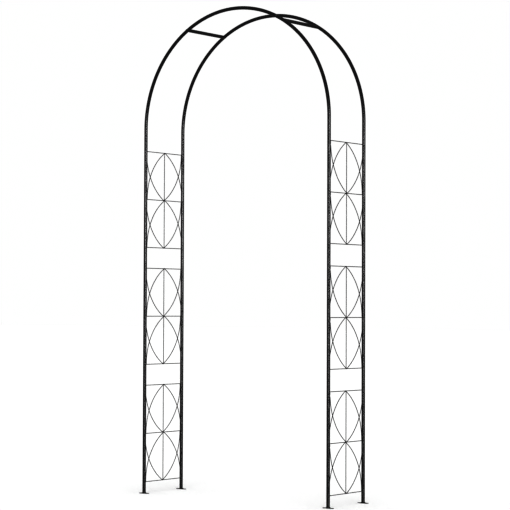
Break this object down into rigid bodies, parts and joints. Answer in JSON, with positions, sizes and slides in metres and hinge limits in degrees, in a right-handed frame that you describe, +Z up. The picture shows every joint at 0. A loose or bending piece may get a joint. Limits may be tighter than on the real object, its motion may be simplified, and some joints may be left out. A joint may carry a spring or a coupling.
{
  "type": "metal trellis arch",
  "caption": "Round-topped walk-through garden arch of steel tube with curved-wire trellis sides, standing on flat foot plates, for climbing plants.",
  "frame": {"origin": "on the ground, at the centre of the rectangle that the four feet make", "axes": "+X across the walkway, +Y through the arch from front to rear, +Z up"},
  "size_m": [1.18, 0.317, 2.3999],
  "materials": {
    "tube_coat": "satin black powder coat",
    "wire_coat": "satin black powder coat",
    "foot_plate_coat": "satin black powder coat",
    "screw_finish": "black screw finish",
    "zinc_plate": "bright zinc plate"
  },
  "bodies": {
    "root": {"crossbar_inserts": "zinc_plate", "crossbar_screws": "screw_finish", "front_crown_tube": "tube_coat", "front_left_haunch_tube": "tube_coat", "front_right_haunch_tube": "tube_coat", "left_crossbar": "tube_coat", "left_front_foot_plate": "foot_plate_coat", "left_front_lower_leg": "tube_coat", "left_front_middle_leg": "tube_coat", "left_front_upper_leg": "tube_coat", "left_lower_bottom_rail": "wire_coat", "left_lower_bows": "wire_coat", "left_lower_middle_rail": "wire_coat", "left_lower_stems": "wire_coat", "left_lower_top_rail": "wire_coat", "left_middle_bottom_rail": "wire_coat", "left_middle_bows": "wire_coat", "left_middle_middle_rail": "wire_coat", "left_middle_stems": "wire_coat", "left_middle_top_rail": "wire_coat", "left_rear_foot_plate": "foot_plate_coat", "left_rear_lower_leg": "tube_coat", "left_rear_middle_leg": "tube_coat", "left_rear_upper_leg": "tube_coat", "left_upper_bottom_rail": "wire_coat", "left_upper_bows": "wire_coat", "left_upper_middle_rail": "wire_coat", "left_upper_stems": "wire_coat", "left_upper_top_rail": "wire_coat", "rear_crown_tube": "tube_coat", "rear_left_haunch_tube": "tube_coat", "rear_right_haunch_tube": "tube_coat", "right_crossbar": "tube_coat", "right_front_foot_plate": "foot_plate_coat", "right_front_lower_leg": "tube_coat", "right_front_middle_leg": "tube_coat", "right_front_upper_leg": "tube_coat", "right_lower_bottom_rail": "wire_coat", "right_lower_bows": "wire_coat", "right_lower_middle_rail": "wire_coat", "right_lower_stems": "wire_coat", "right_lower_top_rail": "wire_coat", "right_middle_bottom_rail": "wire_coat", "right_middle_bows": "wire_coat", "right_middle_middle_rail": "wire_coat", "right_middle_stems": "wire_coat", "right_middle_top_rail": "wire_coat", "right_rear_foot_plate": "foot_plate_coat", "right_rear_lower_leg": "tube_coat", "right_rear_middle_leg": "tube_coat", "right_rear_upper_leg": "tube_coat", "right_upper_bottom_rail": "wire_coat", "right_upper_bows": "wire_coat", "right_upper_middle_rail": "wire_coat", "right_upper_stems": "wire_coat", "right_upper_top_rail": "wire_coat"}
  },
  "joints": []
}
